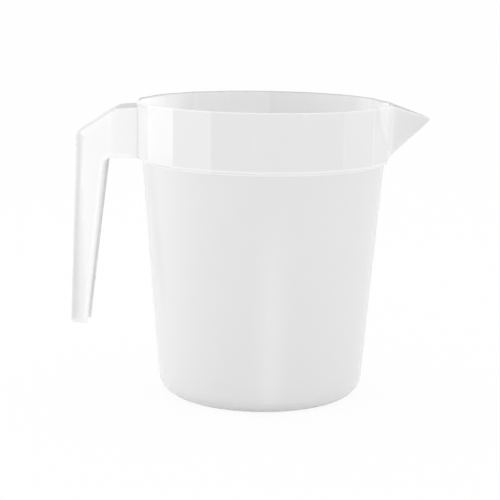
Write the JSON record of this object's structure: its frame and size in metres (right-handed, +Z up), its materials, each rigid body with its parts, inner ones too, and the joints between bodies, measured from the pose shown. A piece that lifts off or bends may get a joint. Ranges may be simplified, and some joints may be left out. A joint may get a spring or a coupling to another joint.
{
  "type": "stackable pitcher",
  "caption": "Open plastic pitcher with a tapered round body, a faceted collar, a pointed spout and a hanging handle that is free at its foot; pitchers stack one inside the next.",
  "frame": {"origin": "centre of the base, on the surface the pitcher stands on", "axes": "+Z up, +X towards the spout, the handle at -X, +Y across"},
  "size_m": [0.2023, 0.1422, 0.167],
  "materials": {
    "pitcher_plastic": "frosted translucent"
  },
  "bodies": {
    "root": {"pitcher": "pitcher_plastic"}
  },
  "joints": []
}
